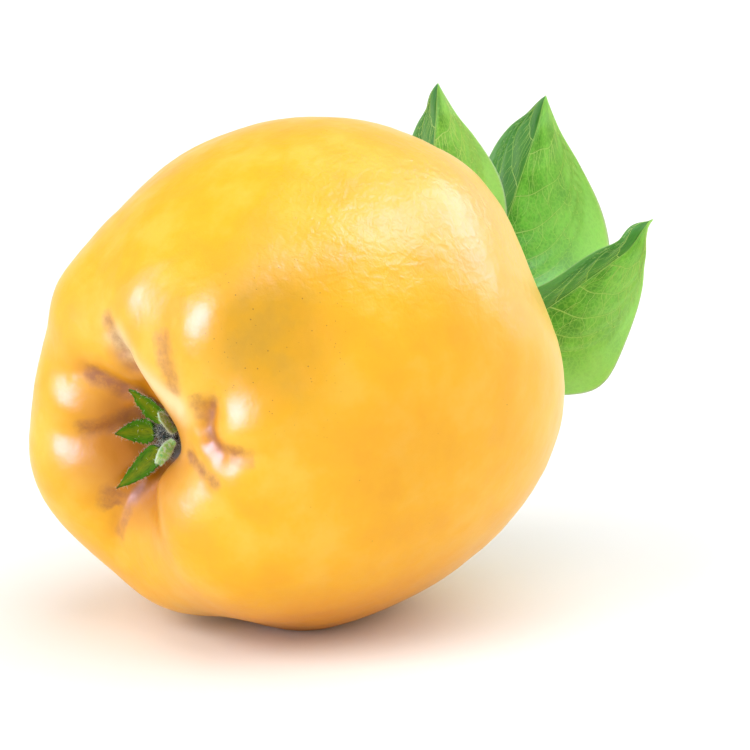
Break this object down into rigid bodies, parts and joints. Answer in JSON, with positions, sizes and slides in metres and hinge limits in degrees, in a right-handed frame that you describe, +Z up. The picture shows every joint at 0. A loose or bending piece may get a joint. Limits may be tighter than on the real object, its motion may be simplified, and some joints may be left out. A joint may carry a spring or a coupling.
{
  "type": "quince",
  "caption": "Ripe quince as picked, lying on its side, with its sepalled calyx, a stub of leafy shoot and leaves.",
  "frame": {"origin": "middle of the small flat spot that the fruit rests on", "axes": "+Z up from the surface; the core line lies over the Y axis, with the calyx towards -Y and dipping nine degrees and the shoot and leaves towards +Y; +X is to the right of someone who faces the calyx"},
  "size_m": [0.0935, 0.1362, 0.0964],
  "materials": {
    "quince_skin": "satin",
    "withered_calyx": "matte",
    "sepal": "matte",
    "shoot_bark": "matte",
    "leaf": "satin"
  },
  "bodies": {
    "root": {"fruit": "quince_skin", "calyx_cup": "withered_calyx", "dried_stamens": "withered_calyx", "sepal_1": "sepal", "sepal_2": "sepal", "sepal_3": "sepal", "sepal_4": "sepal", "sepal_5": "sepal", "twig": "shoot_bark", "leaf_1": "leaf", "leaf_2": "leaf", "leaf_3": "leaf"}
  },
  "joints": []
}
